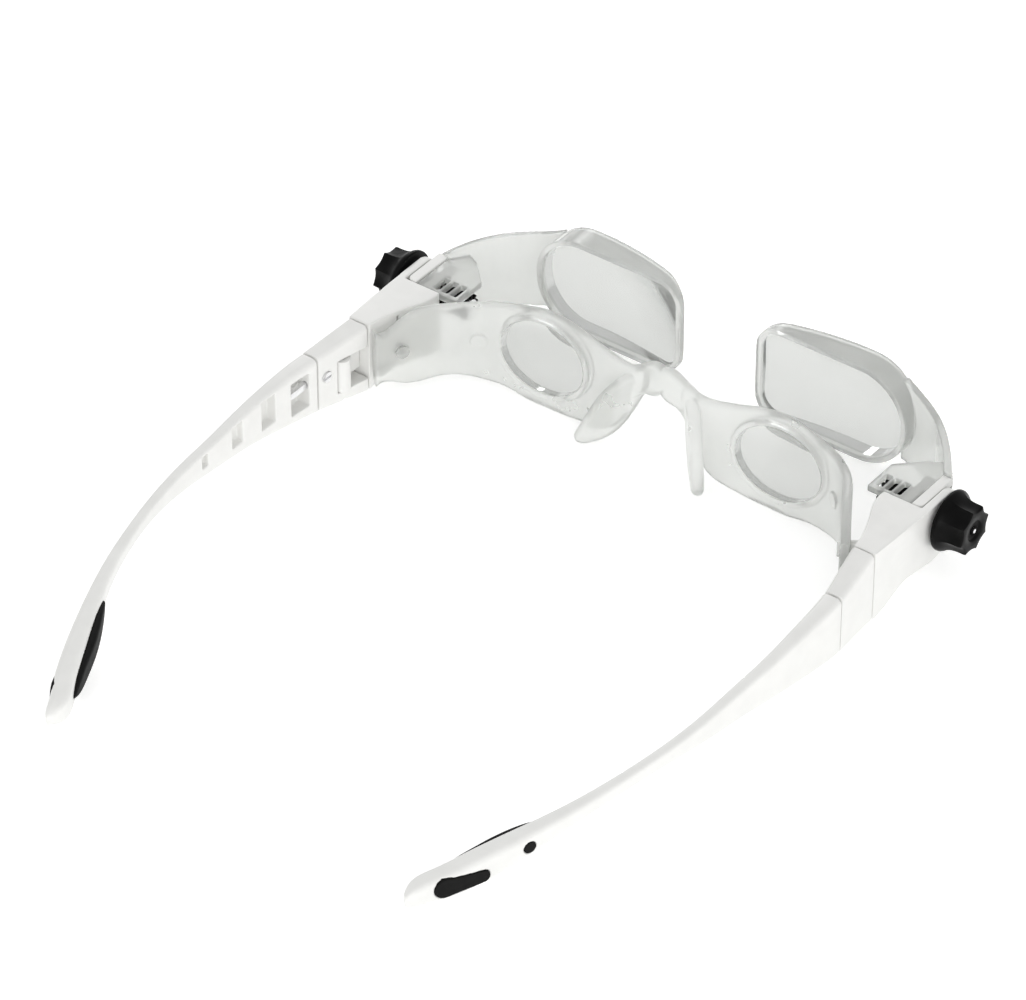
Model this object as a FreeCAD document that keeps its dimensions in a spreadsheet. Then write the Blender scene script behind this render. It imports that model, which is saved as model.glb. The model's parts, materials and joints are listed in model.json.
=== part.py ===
import FreeCAD, Part
import math
import operator
import os

import Sketcher
from FreeCAD import Placement, Rotation, Vector

# Magnifying spectacles: a clear eyepiece frame with two concave oculars, and in front of it two convex
# objectives that rack forward when the side knobs turn. Two folding temples carry it on the head.
#
# Every size below is in millimetres (angles in degrees). Places are measured from the seam datum: the
# middle of the head across X, the seam between focus housing and hinge link along Y, and the top of that
# seam up Z. The lenses face -Y and the wearer's left is +X. The finished part stands on Z = 0 with its
# origin at the bottom centre of its box.

SIZES = {
    # Overall
    "seam_half_width": 72.0,
    "front_reach": 51.6,
    "tip_reach": 134.2,
    "rest_height": 19.0,
    "foot_trim": 0.3,
    # Clearances and cutting overrun
    "moving_gap": 0.3,
    "fit_gap": 0.05,
    "overrun": 3.0,
    # Fold hinge
    "fold_inset": 3.5,
    "fold_y": 6.0,
    "fold_pin_radius": 0.8,
    "fold_pin_top": 2.0,
    "fold_pin_foot": 16.6,
    "knuckle_radius": 2.0,
    "knuckle_top": 5.8,
    "knuckle_foot": 14.2,
    "leaf_inset": 1.55,
    "leaf_thickness": 1.2,
    "leaf_reach": 15.6,
    "leaf_margin": 1.4,
    "leaf_screw_y": 6.4,
    "leaf_screw_radius": 0.8,
    "leaf_screw_head_radius": 1.6,
    "leaf_screw_head": 0.8,
    "leaf_screw_bite": 1.1,
    # Hinge link
    "link_front": 0.8,
    "link_length": 14.6,
    "link_front_width": 5.9,
    "link_front_foot": 18.5,
    "link_rear_width": 4.7,
    "link_rear_outset": 1.7,
    "link_rear_top": 1.6,
    "link_rear_foot": 16.9,
    "link_edge_radius": 1.2,
    # Temple tongue and its screw
    "tongue_inset": 1.8,
    "tongue_thickness": 1.2,
    "tongue_top": 7.2,
    "tongue_height": 1.6,
    "tongue_front": 9.6,
    "tongue_length": 14.4,
    "link_screw_y": 11.4,
    "link_screw_radius": 0.5,
    "link_screw_head_radius": 1.3,
    "link_screw_head": 0.9,
    "link_screw_length": 3.6,
    # Temple arm
    "arm_gap": 0.4,
    "arm_outset": 1.75,
    "arm_inset": 25.75,
    "arm_thickness": 4.9,
    "arm_wall": 1.2,
    # Ear pad
    "pad_width": 5.0,
    "pad_depth": 1.0,
    "pad_proud": 1.5,
    "pad_drop": 0.3,
    "pad_key_length": 12.6,
    "pad_key_width": 4.9,
    "pad_key_front_width": 3.2,
    "pad_pin_radius": 1.45,
    "pad_key_proud": 0.15,
    # Focus housing
    "seam_gap": 0.4,
    "housing_rear_width": 5.7,
    "housing_front_width": 11.0,
    "housing_front": 20.6,
    "ear_front": 33.0,
    "ear_inset": 1.1,
    "ear_outset": 0.9,
    "housing_foot_rear": 18.3,
    "housing_foot_front": 14.2,
    "housing_top_wall": 1.0,
    "housing_wall": 1.2,
    "channel_inner_inset": 7.8,
    "channel_outer_inset": 1.5,
    "channel_rear": 9.0,
    "hinge_chamber_inset": 4.5,
    "hinge_wall": 1.6,
    "cover_thickness": 1.2,
    "cover_screw_radius": 0.7,
    "cover_screw_head_radius": 1.4,
    "cover_screw_head": 0.7,
    "cover_screw_bite": 3.0,
    "cover_post_radius": 1.8,
    "cover_post_height": 4.0,
    # Focus drive
    "drive_y": 26.8,
    "drive_z": 5.7,
    "gear_module": 0.5,
    "gear_teeth": 10,
    "rack_teeth": 13,
    "pinion_inner_inset": 15.0,
    "pinion_outer_inset": 5.1,
    "boss_inset": 4.7,
    "boss_radius": 2.3,
    "boss_flange": 0.4,
    "boss_flange_radius": 4.0,
    "shaft_inset": 16.0,
    "shaft_radius": 1.0,
    "shaft_tip_radius": 0.5,
    "shaft_tip_length": 2.6,
    "clip_radius": 1.9,
    "clip_thickness": 0.4,
    "clip_groove_depth": 0.25,
    "washer_thickness": 0.4,
    "washer_radius": 3.0,
    "knob_length": 7.1,
    "knob_base_radius": 7.2,
    "knob_base_rim": 0.9,
    "knob_waist_radius": 5.3,
    "knob_waist_height": 3.0,
    "knob_star_radius": 5.75,
    "knob_lobes": 8,
    "knob_flute_radius": 3.0,
    "knob_flute_centre": 7.95,
    "knob_turn": 33.5,
    "knob_dish_radius": 2.6,
    "knob_dish_depth": 0.6,
    # Slide on the objective carrier
    "arm_plate_inset": 15.6,
    "arm_plate_top": 0.6,
    "arm_plate_foot": 2.3,
    "arm_plate_front": 36.0,
    "arm_plate_nose": 30.5,
    "arm_plate_chamfer": 5.6,
    "slot_inset": 14.4,
    "slot_width": 1.7,
    "slot_rail": 0.7,
    "slot_front": 26.8,
    "slot_rear": 22.2,
    "rack_inset": 7.4,
    "rack_width": 2.2,
    "rack_top": 1.8,
    "runner_top": 1.3,
    "runner_rear": 11.4,
    "ledge_top": 2.0,
    "ledge_foot": 3.0,
    "ledge_lap": 0.9,
    "block_inset": 3.9,
    "block_front": 33.3,
    "block_corner": 1.5,
    "block_top": 0.15,
    # Objective
    "lens_inner": 10.4,
    "lens_outer_inset": 21.0,
    "lens_top": 9.7,
    "lens_foot": 16.3,
    "lens_inner_corner": 6.5,
    "lens_outer_corner": 12.7,
    "lens_depth": 7.6,
    "front_bow_radius": 75.0,
    "carrier_wall": 1.4,
    "lens_seat": 0.5,
    "lens_recess": 1.0,
    "side_wall": 1.8,
    # Eyepiece frame
    "eyepiece_y": 24.7,
    "bridge_thickness": 3.0,
    "frame_thickness": 2.2,
    "wing_angle": 33.0,
    "ocular_drop": 6.6,
    "ocular_half_width": 11.6,
    "ocular_half_height": 8.6,
    "ocular_rim": 1.3,
    "ocular_y": 22.9,
    "ocular_lean": 8.65,
    "ocular_thickness": 3.5,
    "ocular_front_radius": 82.0,
    "ocular_back_radius": 69.0,
    "ocular_middle": 1.5,
    "frame_pin_inset": 11.0,
    "frame_pin_y": 5.9,
    "frame_pin_drop": 7.0,
    "frame_pin_radius": 0.8,
    "frame_pin_head_radius": 1.6,
    "frame_pin_head": 0.7,
    "frame_boss_radius": 2.2,
    "frame_boss_reach": 4.4,
    # Pegs on the rear of the wings
    "peg_drop": 7.4,
    "peg_angle": 35.4,
    "peg_radius": 1.9,
    "peg_reach": 2.3,
    # Nose pads
    "pad_root_x": 7.0,
    "pad_root_y": 24.0,
    "nose_pad_length": 14.9,
    "nose_pad_angle": 47.5,
    "nose_pad_height": 18.0,
    "nose_pad_thickness": 3.0,
}

# Temple arm sections, front to tip: place along the arm, inward share of the inset, top and foot as shares
# of the rest height, and share of the arm's thickness.
ARM_SHARES = (
    (0.000, 0.000, 0.085, 0.889, 1.00),
    (0.065, -0.010, 0.096, 0.832, 0.88),
    (0.132, -0.006, 0.121, 0.758, 0.78),
    (0.232, 0.014, 0.174, 0.658, 0.66),
    (0.332, 0.045, 0.216, 0.579, 0.58),
    (0.432, 0.083, 0.258, 0.516, 0.54),
    (0.532, 0.161, 0.305, 0.500, 0.53),
    (0.632, 0.268, 0.363, 0.558, 0.60),
    (0.732, 0.411, 0.437, 0.689, 0.76),
    (0.815, 0.555, 0.505, 0.847, 0.94),
    (0.882, 0.689, 0.568, 0.943, 1.00),
    (0.940, 0.830, 0.642, 0.980, 0.96),
    (0.973, 0.918, 0.679, 0.975, 0.86),
    (0.993, 0.965, 0.721, 0.945, 0.64),
    (1.000, 1.000, 0.774, 0.905, 0.32),
)
# Windows in the arm's inner side: rear and front end as shares of the arm's length, then top and foot as
# shares of the rest height.
WINDOW_SHARES = (
    (0.022, 0.071, 0.215, 0.690),
    (0.116, 0.156, 0.175, 0.580),
    (0.211, 0.243, 0.215, 0.510),
    (0.317, 0.335, 0.270, 0.440),
)
# Ear pad sections: place along the arm, and shares of the pad's width and of how proud it stands.
EAR_PAD_SHARES = (
    (0.730, 0.12, 0.20),
    (0.750, 0.55, 0.50),
    (0.790, 0.90, 0.90),
    (0.840, 1.00, 1.00),
    (0.890, 0.95, 0.75),
    (0.925, 0.60, 0.50),
    (0.942, 0.12, 0.20),
)
CORNER_LIMIT_SHARE = 0.49
# Edge rounding as shares of a section's width or depth, and the most of half a side that one can take.
ARM_ROUND_SHARE = 0.3
PAD_ROUND_SHARE = 0.4
FRAME_ROUND_SHARE = 0.4
NOSE_PAD_ROUND_SHARE = 0.45
ROUND_LIMIT_SHARE = 0.98
# Ocular and bow centres as shares of the seam's half width.
OCULAR_SHARE = 0.4514
FRONT_BOW_SHARE = 0.5278
# Peg on a wing: across as a share of the seam's half width, forward as a share of the eyepiece's place.
PEG_SHARES = (0.694, 0.842)
# Screw slot: half width as a share of the head's radius, depth as a share of the head's height.
SLOT_WIDTH_SHARE = 0.25
SLOT_DEPTH_SHARE = 0.5
CLIP_MOUTH_SHARE = 0.6
GAP_REACH_SHARE = 1.15
# Bends in the housing's outline: the swell of its outer side, and the nose and crown of its ear.
SWELL_ACROSS_SHARE = 0.45
SWELL_ALONG_SHARE = 0.55
EAR_CROWN_SHARE = 0.88
EAR_NOSE_SHARES = ((0.965, 1.9), (0.975, 0.35))
# Where the plate's front corner meets the side wall: across it, and forward along it.
PLATE_WEB_SHARES = (0.78, 0.26)
# Tooth shape as shares of the gear's module: half widths of a rack tooth and of a pinion gap.
RACK_TIP_SHARE = 0.29
RACK_ROOT_SHARE = 1.02
GAP_FLOOR_SHARE = 0.55
GAP_MOUTH_SHARE = 1.62
DEDENDUM_SHARE = 1.2
PAD_KEY_SHARE = 0.907
PAD_PIN_SHARE = 0.785
# Eyepiece frame sections from the bridge to the wing's end. Place across is a share of the seam's half
# width, place back and lean are shares of the eyepiece's distance from the seam, top and foot are shares
# of the rest height, and thickness is a share of the frame's.
FRAME_SHARES = (
    (0.0000, 0.931, 0.000, 0.242, 0.116, 1.36),
    (0.0625, 0.947, 0.024, 0.210, 0.221, 1.27),
    (0.1250, 0.972, 0.081, 0.047, 0.526, 1.09),
    (0.1940, 0.988, 0.130, 0.042, 0.874, 1.00),
    (0.2780, 0.996, 0.146, 0.126, 0.958, 1.00),
    (0.3890, 1.000, 0.146, 0.242, 1.000, 1.00),
    (0.4860, 0.992, 0.142, 0.247, 1.000, 1.00),
    (0.5830, 0.968, 0.121, 0.163, 0.947, 1.00),
    (0.6600, 0.907, 0.089, 0.116, 0.947, 1.00),
    (0.7220, 0.777, 0.049, 0.105, 0.916, 1.00),
    (0.7850, 0.526, 0.000, 0.158, 0.884, 1.00),
    (0.8400, 0.267, 0.000, 0.084, 0.874, 1.00),
    (0.8930, 0.020, 0.000, 0.005, 0.842, 1.00),
)
# Nose pad sections: place along the pad, then top and foot as shares of its height, and thickness share.
NOSE_PAD_SHARES = (
    (-0.17, -0.03, 0.19, 0.90),
    (0.07, 0.00, 0.53, 1.00),
    (0.30, 0.08, 0.81, 1.00),
    (0.54, 0.25, 0.955, 1.00),
    (0.77, 0.53, 1.000, 1.00),
    (0.94, 0.79, 0.990, 0.90),
    (1.00, 0.87, 0.955, 0.62),
)
# Housing outlines: inner edge of its top, as shares of the way from the inner rear corner to the inner
# front corner, and its foot along the side, as shares of its own reach and depth.
HOUSING_INNER_SHARES = ((0.0, 0.06), (0.17, 0.29), (0.62, 0.58), (0.96, 0.80), (1.0, 1.0))
HOUSING_FOOT_SHARES = ((0.024, 1.0), (0.21, 0.900), (0.36, 0.795), (0.55, 0.815), (0.84, 0.795))
# Side wall of the carrier: place across from the lens's outer end to the ear, place forward from the slide
# block's front to the lens's front, and top and foot as shares of the lens's top and foot.
SIDE_WALL_SHARES = (
    (-0.20, 0.961, 0.68, 0.94),
    (0.05, 0.893, 0.48, 0.98),
    (0.45, 0.656, 0.34, 1.02),
    (0.85, 0.210, 0.12, 0.98),
    (0.975, 0.027, -0.03, 0.92),
)


class Size(float):
    """A size that keeps its spreadsheet formula through sums and products."""

    def __new__(cls, value, formula=None):
        size = super().__new__(cls, value)
        size.formula = formula or repr(float(value))
        return size


def formula_of(value):
    return value.formula if isinstance(value, Size) else repr(float(value))


def keep_formula(sign, compute):
    def forward(left, right):
        text = "({} {} {})".format(formula_of(left), sign, formula_of(right))
        return Size(compute(float(left), float(right)), text)

    def backward(right, left):
        return forward(left, right)

    return forward, backward


Size.__add__, Size.__radd__ = keep_formula("+", operator.add)
Size.__sub__, Size.__rsub__ = keep_formula("-", operator.sub)
Size.__mul__, Size.__rmul__ = keep_formula("*", operator.mul)
Size.__truediv__, Size.__rtruediv__ = keep_formula("/", operator.truediv)
Size.__neg__ = lambda size: 0 - size


class Sizes:
    """The driving sizes by name."""

    def __getattr__(self, name):
        return Size(SIZES[name], "sizes." + name)


doc = FreeCAD.newDocument("magnifier")
sheet = doc.addObject("Spreadsheet::Sheet", "sizes")
for row, (name, value) in enumerate(SIZES.items(), start=1):
    sheet.set("A%d" % row, name)
    sheet.set("B%d" % row, repr(value))
    sheet.setAlias("B%d" % row, name)
doc.recompute()
S = Sizes()

# Places that several pieces share
DATUM_Y = (S.front_reach - S.tip_reach) / 2
DATUM_Z = S.rest_height - S.foot_trim
FOLD_X = S.seam_half_width - S.fold_inset
LEAF_OUTER = S.seam_half_width - S.leaf_inset
LINK_FRONT_INNER = S.seam_half_width - S.link_front_width
TONGUE_INNER = S.seam_half_width - S.tongue_inset
HOUSING_INNER_REAR = S.seam_half_width - S.housing_rear_width
HOUSING_INNER_FRONT = S.seam_half_width - S.housing_front_width
EAR_INNER = S.seam_half_width - S.ear_inset
CHANNEL_INNER = S.seam_half_width - S.channel_inner_inset
CHANNEL_OUTER = S.seam_half_width - S.channel_outer_inset
HINGE_CHAMBER_INNER = S.seam_half_width - S.hinge_chamber_inset
PINION_INNER = S.seam_half_width - S.pinion_inner_inset
PINION_OUTER = S.seam_half_width - S.pinion_outer_inset
BOSS_INNER = S.seam_half_width - S.boss_inset
SHAFT_INNER = S.seam_half_width - S.shaft_inset
ARM_PLATE_INNER = S.seam_half_width - S.arm_plate_inset
SLOT_INNER = S.seam_half_width - S.slot_inset
RACK_INNER = S.seam_half_width - S.rack_inset
BLOCK_INNER = S.seam_half_width - S.block_inset
LENS_OUTER = S.seam_half_width - S.lens_outer_inset
FRAME_PIN_X = S.seam_half_width - S.frame_pin_inset
LINK_REAR_OUTER = S.seam_half_width + S.link_rear_outset
EAR_OUTER = S.seam_half_width + S.ear_outset
ARM_FRONT_OUTER = S.seam_half_width + S.arm_outset
LINK_REAR_INNER = LINK_REAR_OUTER - S.link_rear_width
FRONT_BOW_X = S.seam_half_width * FRONT_BOW_SHARE
OCULAR_X = S.seam_half_width * OCULAR_SHARE
LENS_BACK = S.front_reach - S.lens_depth
LINK_REAR_Y = S.link_length - S.link_front
ARM_FRONT_Y = LINK_REAR_Y + S.arm_gap
ARM_LENGTH = S.tip_reach - ARM_FRONT_Y
HOUSING_REAR_Y = -(S.link_front + S.seam_gap)
GEAR_RADIUS = S.gear_module * S.gear_teeth / 2
LEAF_INNER = LEAF_OUTER - S.leaf_thickness
KNOB_INNER = EAR_OUTER + S.boss_flange + S.fit_gap * 2 + S.washer_thickness
KNOB_OUTER = KNOB_INNER + S.knob_length
COVER_TOP = -(S.housing_foot_front - S.cover_thickness)
SLIDE_REAR_Y = -(S.housing_front + S.moving_gap)
RACK_OUTER = RACK_INNER + S.rack_width
PLATE_OUTER = BLOCK_INNER - S.fit_gap
BLOCK_OUTER = EAR_INNER - S.moving_gap
LINK_SCREW_Z = -(S.tongue_top + S.tongue_height / 2)
LINK_SCREW_X = LINK_REAR_INNER + S.fit_gap
LEAF_SCREW_Z = -(S.knuckle_top + S.knuckle_foot) / 2
WING_FACE = S.frame_thickness / 2
FRAME_PIN_BITE = S.frame_boss_reach - S.frame_thickness
COVER_POST_X = CHANNEL_INNER + S.cover_post_radius
COVER_POST_Y = -(S.channel_rear + S.cover_post_radius)
CLIP_INNER = PINION_INNER - S.fit_gap - S.clip_thickness
RACK_PITCH = S.gear_module * math.pi
TEETH_AHEAD = 3.5
RACK_LENGTH = RACK_PITCH * S.rack_teeth
RACK_FRONT_Y = -S.drive_y - RACK_PITCH * TEETH_AHEAD
RACK_PITCH_Z = GEAR_RADIUS - S.drive_z
LEFT_SIDE = "left"
RIGHT_SIDE = "right"


def bind(item, **properties):
    """Set properties and bind those that come from the sheet."""
    for name, value in properties.items():
        setattr(item, name, float(value))
        if isinstance(value, Size):
            item.setExpression(name, value.formula)
    return item


def place(item, x, y, z, rotation=None):
    """Put an object at a place that follows the sheet."""
    item.Placement = Placement(Vector(x, y, z), rotation or Rotation())
    for axis, value in zip("xyz", (x, y, z)):
        if isinstance(value, Size):
            item.setExpression("Placement.Base." + axis, value.formula)
    return item


def box(name, x, y, z):
    """A block between a low and a high value on each axis."""
    item = doc.addObject("Part::Box", name)
    bind(item, Length=x[1] - x[0], Width=y[1] - y[0], Height=z[1] - z[0])
    return place(item, x[0], y[0], z[0])


TURNS = {
    "x": Rotation(Vector(0, 1, 0), 90),
    "y": Rotation(Vector(1, 0, 0), -90),
    "z": Rotation(),
}


def cylinder(name, axis, centre, span, radius):
    """A rod along an axis, with its centre given by the two other coordinates."""
    item = doc.addObject("Part::Cylinder", name)
    bind(item, Radius=radius, Height=span[1] - span[0])
    corner = list(centre)
    corner.insert("xyz".index(axis), span[0])
    return place(item, *corner, TURNS[axis])


def feature(name, shape):
    item = doc.addObject("Part::Feature", name)
    item.Shape = shape
    return item


def fuse(name, *items):
    item = doc.addObject("Part::MultiFuse", name)
    item.Shapes = list(items)
    item.Refine = True
    return item


def common(name, *items):
    item = doc.addObject("Part::MultiCommon", name)
    item.Shapes = list(items)
    return item


def cut(name, base, *tools):
    item = doc.addObject("Part::Cut", name)
    item.Base = base
    item.Tool = tools[0] if len(tools) == 1 else fuse(name + "_tools", *tools)
    return item


def draw(body, role, name, points):
    """A closed sketch on one of the body's own planes, each corner bound to the sheet."""
    sketch = body.newObject("Sketcher::SketchObject", name)
    plane = next(item for item in body.Origin.OriginFeatures if item.Role == role)
    sketch.AttachmentSupport = [(plane, "")]
    sketch.MapMode = "FlatFace"
    count = len(points)
    for number, (start, end) in enumerate(zip(points, points[1:] + points[:1])):
        sketch.addGeometry(Part.LineSegment(Vector(*start, 0), Vector(*end, 0)), False)
    for number in range(count):
        sketch.addConstraint(Sketcher.Constraint("Coincident", number, 2, (number + 1) % count, 1))
    for number, point in enumerate(points):
        for direction, value in zip(("DistanceX", "DistanceY"), point):
            index = sketch.addConstraint(Sketcher.Constraint(direction, -1, 1, number, 1, float(value)))
            if isinstance(value, Size):
                sketch.setExpression("Constraints[%d]" % index, value.formula)
    return sketch


def draw_circle(body, role, name, centre, radius):
    sketch = body.newObject("Sketcher::SketchObject", name)
    plane = next(item for item in body.Origin.OriginFeatures if item.Role == role)
    sketch.AttachmentSupport = [(plane, "")]
    sketch.MapMode = "FlatFace"
    sketch.addGeometry(Part.Circle(Vector(*centre, 0), Vector(0, 0, 1), float(radius)), False)
    for direction, value in zip(("DistanceX", "DistanceY"), centre):
        index = sketch.addConstraint(Sketcher.Constraint(direction, -1, 1, 0, 3, float(value)))
        if isinstance(value, Size):
            sketch.setExpression("Constraints[%d]" % index, value.formula)
    index = sketch.addConstraint(Sketcher.Constraint("Radius", 0, float(radius)))
    sketch.setExpression("Constraints[%d]" % index, radius.formula)
    return sketch


def turned(name, profile):
    """A body turned about its own Z axis from half a section, given as radius and height."""
    body = doc.addObject("PartDesign::Body", name)
    sketch = draw(body, "XZ_Plane", name + "_section", profile)
    turn = body.newObject("PartDesign::Revolution", name + "_turn")
    turn.Profile = sketch
    turn.ReferenceAxis = (sketch, ["V_Axis"])
    turn.Angle = 360
    sketch.Visibility = False
    doc.recompute()
    return body


def ring_pattern(body, name, feature_to_repeat, count):
    """Repeat a cut around the body's Z axis."""
    pattern = body.newObject("PartDesign::PolarPattern", name)
    pattern.Originals = [feature_to_repeat]
    axis = next(item for item in body.Origin.OriginFeatures if item.Role == "Z_Axis")
    pattern.Axis = (axis, [""])
    pattern.Angle = 360
    pattern.Occurrences = int(count)
    pattern.setExpression("Occurrences", count.formula)
    body.Tip = pattern
    doc.recompute()
    return pattern


def pin_blank(name, radius, length, head_radius, head):
    profile = [(0, -head), (head_radius, -head), (head_radius, 0), (radius, 0), (radius, length), (0, length)]
    return turned(name, profile)


def screw(name, radius, length, head_radius, head):
    """A slotted screw along its own Z axis: shank from zero up, head below zero."""
    body = pin_blank(name, radius, length, head_radius, head)
    slot = head_radius * SLOT_WIDTH_SHARE
    depth = head * SLOT_DEPTH_SHARE
    sketch = draw(
        body,
        "XZ_Plane",
        name + "_slot_section",
        [(-slot, -head), (slot, -head), (slot, depth - head), (-slot, depth - head)],
    )
    pocket = body.newObject("PartDesign::Pocket", name + "_slot")
    pocket.Profile = sketch
    pocket.Midplane = True
    bind(pocket, Length=(head_radius + S.overrun) * 2)
    sketch.Visibility = False
    body.Tip = pocket
    doc.recompute()
    return body


def section(middle, across, up, width, height, radius):
    """A closed rounded rectangle about a middle point."""
    across = Vector(across).normalize()
    up = Vector(up).normalize()
    half_width = float(width) / 2
    half_height = float(height) / 2
    radius = min(float(radius), half_width * ROUND_LIMIT_SHARE, half_height * ROUND_LIMIT_SHARE)
    bend = radius * (1 - math.sqrt(0.5))

    def at(u, v):
        return middle + across * u + up * v

    corners = ((1, 1), (-1, 1), (-1, -1), (1, -1))
    edges = []
    for number, (su, sv) in enumerate(corners):
        first = at(su * half_width, sv * (half_height - radius))
        last = at(su * (half_width - radius), sv * half_height)
        if su * sv < 0:
            first, last = last, first
        mid = at(su * (half_width - bend), sv * (half_height - bend))
        edges.append(Part.Arc(first, mid, last).toShape())
        nu, nv = corners[(number + 1) % 4]
        following = at(nu * (half_width - radius), nv * half_height)
        if nu * nv > 0:
            following = at(nu * half_width, nv * (half_height - radius))
        edges.append(Part.LineSegment(last, following).toShape())
    return Part.Wire(edges)


def taper(middle, along, length, first_width, last_width):
    """A closed outline with two round ends of their own widths, upright about a middle point."""
    first, last = float(first_width) / 2, float(last_width) / 2
    half = float(length) / 2
    up = Vector(0, 0, 1)
    low = middle - along * (half - first)
    high = middle + along * (half - last)
    return Part.Wire(
        [
            Part.LineSegment(low + up * first, high + up * last).toShape(),
            Part.Arc(high + up * last, high + along * last, high - up * last).toShape(),
            Part.LineSegment(high - up * last, low - up * first).toShape(),
            Part.Arc(low - up * first, low - along * first, low + up * first).toShape(),
        ]
    )


def outline(runs):
    """A closed wire: two points in a run make a line, more make a smooth curve through them."""
    edges = []
    for run in runs:
        points = [Vector(*point) for point in run]
        if len(points) == 2:
            edges.append(Part.LineSegment(*points).toShape())
        else:
            curve = Part.BSplineCurve()
            curve.interpolate(points)
            edges.append(curve.toShape())
    return Part.Wire(edges)


def slab(wire, direction):
    return Part.Face(wire).extrude(direction)


def below_rest():
    """The room under the plane that the spectacles rest on."""
    wide = S.seam_half_width + S.arm_outset + S.overrun
    return box(
        "below_rest",
        (-wide, wide),
        (-S.front_reach - S.overrun, S.tip_reach + S.overrun),
        (-S.rest_height - S.overrun, -DATUM_Z),
    )


# Temple arm geometry, shared by the arm and what is seated on it


def arm_at(along):
    """Outer x, top, foot and thickness of the arm at a place along it."""
    for low, high in zip(ARM_SHARES, ARM_SHARES[1:]):
        if along <= high[0]:
            part = (along - low[0]) / (high[0] - low[0])
            inset, top, foot, thick = (low[i] + (high[i] - low[i]) * part for i in range(1, 5))
            break
    return (
        ARM_FRONT_OUTER - S.arm_inset * inset,
        -S.rest_height * top,
        -S.rest_height * foot,
        S.arm_thickness * thick,
    )


def arm_frame(along):
    """Outer point, outward direction, rearward direction, top, foot and thickness of the arm."""
    step = 0.01
    x, top, foot, thick = arm_at(along)
    x_before = arm_at(max(along - step, 0))[0]
    x_after = arm_at(min(along + step, 1))[0]
    run = ARM_LENGTH * (min(along + step, 1) - max(along - step, 0))
    rearward = Vector(x_after - x_before, run, 0).normalize()
    outward = Vector(rearward.y, -rearward.x, 0)
    return Vector(x, ARM_FRONT_Y + ARM_LENGTH * along, 0), outward, rearward, top, foot, thick


def make_temple_arm():
    wires = []
    for along, *rest in ARM_SHARES:
        outer, outward, rearward, top, foot, thick = arm_frame(along)
        middle = outer - outward * (thick / 2) + Vector(0, 0, (top + foot) / 2)
        wires.append(section(middle, outward, Vector(0, 0, 1), thick, top - foot, thick * ARM_ROUND_SHARE))
    blank = feature("arm_blank", Part.makeLoft(wires, True, False))
    tools = []
    for number, (front, rear, top, foot) in enumerate(WINDOW_SHARES, start=1):
        floor = arm_at(rear)[0] - S.arm_wall
        tools.append(
            box(
                "arm_window_%d" % number,
                (floor - S.arm_thickness - S.overrun, floor),
                (ARM_FRONT_Y + ARM_LENGTH * front, ARM_FRONT_Y + ARM_LENGTH * rear),
                (-S.rest_height * foot, -S.rest_height * top),
            )
        )
    tools.append(
        box(
            "arm_tongue_slot",
            (TONGUE_INNER - S.fit_gap, TONGUE_INNER + S.tongue_thickness + S.fit_gap),
            (ARM_FRONT_Y - S.overrun, S.tongue_front + S.tongue_length + S.fit_gap),
            (-(S.tongue_top + S.tongue_height + S.fit_gap), S.fit_gap - S.tongue_top),
        )
    )
    tools.append(feature("arm_pad_recess", ear_pad_shape(S.fit_gap, S.overrun)))
    return cut("left_temple_arm", blank, *tools)


def ear_pad_shape(grow, proud_end):
    """The ear pad: a long pad on the inner side, a key through the arm and a round pin ahead of it.

    Its recess is the same shape grown all round and run out past the arm's outer side.
    """
    wires = []
    for along, share, proud_share in EAR_PAD_SHARES:
        outer, outward, rearward, top, foot, thick = arm_frame(along)
        proud = S.pad_proud * proud_share
        depth = S.pad_depth + proud
        inner = outer - outward * float(thick) + Vector(0, 0, (top + foot) / 2 - S.pad_drop)
        middle = inner + outward * float((S.pad_depth - proud) / 2)
        width = S.pad_width * share + grow * 2
        radius = depth * PAD_ROUND_SHARE
        wires.append(section(middle, outward, Vector(0, 0, 1), depth + grow * 2, width, radius))
    pad = Part.makeLoft(wires, True, False)
    outer, outward, rearward, top, foot, thick = arm_frame(PAD_KEY_SHARE)
    start = outer - outward * float(thick - S.pad_depth / 2)
    start += Vector(0, 0, (top + foot) / 2 - S.pad_drop)
    key_wire = taper(
        start,
        rearward,
        S.pad_key_length + grow * 2,
        S.pad_key_front_width + grow * 2,
        S.pad_key_width + grow * 2,
    )
    key = slab(key_wire, outward * float(thick - S.pad_depth / 2 + proud_end))
    outer, outward, rearward, top, foot, thick = arm_frame(PAD_PIN_SHARE)
    start = outer - outward * float(thick - S.pad_depth / 2)
    start += Vector(0, 0, (top + foot) / 2 - S.pad_drop)
    pin = Part.makeCylinder(
        S.pad_pin_radius + grow, thick - S.pad_depth / 2 + proud_end, start, outward
    )
    return pad.fuse([key, pin]).removeSplitter()


def make_ear_pad():
    return feature("left_ear_pad", ear_pad_shape(0, S.pad_key_proud))


# Link between the focus housing and the temple arm, and the fold hinge inside it


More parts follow.
